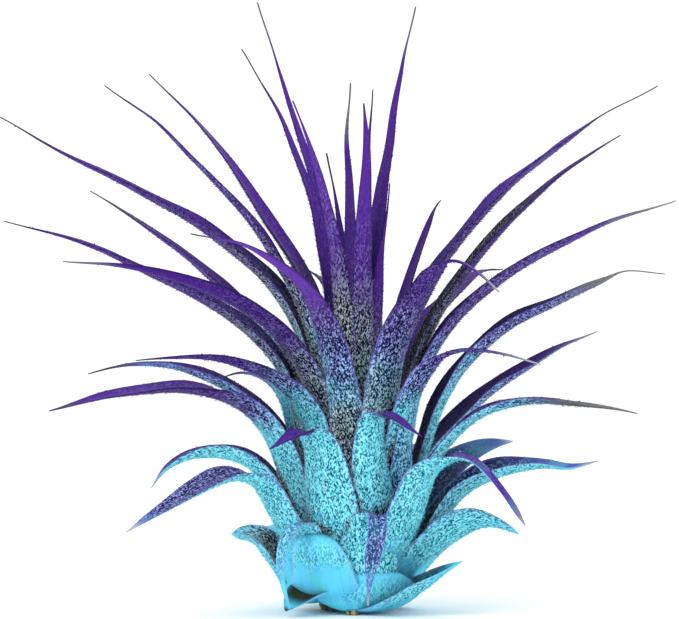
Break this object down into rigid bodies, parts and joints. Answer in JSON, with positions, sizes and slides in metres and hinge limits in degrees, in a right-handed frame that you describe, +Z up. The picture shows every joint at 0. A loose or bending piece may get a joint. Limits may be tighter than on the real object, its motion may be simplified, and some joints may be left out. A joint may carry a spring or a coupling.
{
  "type": "sky plant",
  "caption": "Small air plant: a stemless rosette of narrow arching leaves, dyed cyan at the base and violet above, that sits on its bulb of leaf bases.",
  "frame": {"origin": "middle of the flat foot of the stem, on the surface that the plant rests on", "axes": "+Z up through the rosette, -Y toward the viewer of the picture, +X to the right in it"},
  "size_m": [0.1148, 0.0809, 0.1032],
  "materials": {
    "leaf_cyan": "matt leaf with silvery scales, dyed cyan below and violet on top",
    "leaf_blue": "matt leaf with silvery scales, periwinkle that turns violet",
    "leaf_violet": "matt leaf, dyed violet, with a dry grey tip",
    "stem": "rough",
    "root": "rough"
  },
  "bodies": {
    "root": {"stem": "stem", "root_1": "root", "root_2": "root", "sheath_front_low": "leaf_cyan", "sheath_boat_left": "leaf_cyan", "sheath_boat_right": "leaf_cyan", "sheath_back": "leaf_cyan", "sheath_right": "leaf_cyan", "sheath_dome": "leaf_cyan", "leaf_hanging_front": "leaf_cyan", "leaf_hanging_left": "leaf_cyan", "sheath_left": "leaf_cyan", "leaf_low_left": "leaf_cyan", "leaf_low_right_1": "leaf_cyan", "leaf_low_right_2": "leaf_cyan", "leaf_low_back": "leaf_cyan", "leaf_front_short": "leaf_cyan", "leaf_arching_right": "leaf_cyan", "leaf_arching_left": "leaf_cyan", "leaf_low_arch_left": "leaf_cyan", "leaf_right_short": "leaf_cyan", "leaf_back_1": "leaf_cyan", "leaf_back_2": "leaf_cyan", "leaf_front_left": "leaf_cyan", "leaf_front_right": "leaf_cyan", "leaf_right_1": "leaf_cyan", "leaf_left_1": "leaf_cyan", "leaf_left_2": "leaf_blue", "leaf_right_2": "leaf_blue", "leaf_right_front": "leaf_blue", "leaf_front_blue": "leaf_blue", "leaf_left_3": "leaf_blue", "leaf_left_4": "leaf_blue", "leaf_back_3": "leaf_blue", "leaf_right_3": "leaf_blue", "leaf_big_left": "leaf_blue", "leaf_big_right": "leaf_blue", "leaf_right_4": "leaf_blue", "leaf_right_5": "leaf_blue", "leaf_right_behind": "leaf_blue", "leaf_upper_left_1": "leaf_blue", "leaf_upper_left_2": "leaf_blue", "leaf_upper_left_3": "leaf_violet", "leaf_upper_left_4": "leaf_violet", "leaf_back_4": "leaf_blue", "leaf_upper_right": "leaf_violet", "leaf_cut": "leaf_violet", "leaf_upper_left_5": "leaf_violet", "leaf_middle_front_1": "leaf_violet", "leaf_middle_front_2": "leaf_violet", "leaf_middle_front_3": "leaf_blue", "leaf_upper_left_6": "leaf_violet", "leaf_young_left": "leaf_blue", "leaf_upper_left_7": "leaf_violet", "leaf_middle_1": "leaf_violet", "leaf_middle_2": "leaf_violet", "leaf_upper_left_8": "leaf_violet", "leaf_middle_3": "leaf_violet", "leaf_middle_4": "leaf_violet", "leaf_middle_5": "leaf_violet"}
  },
  "joints": []
}
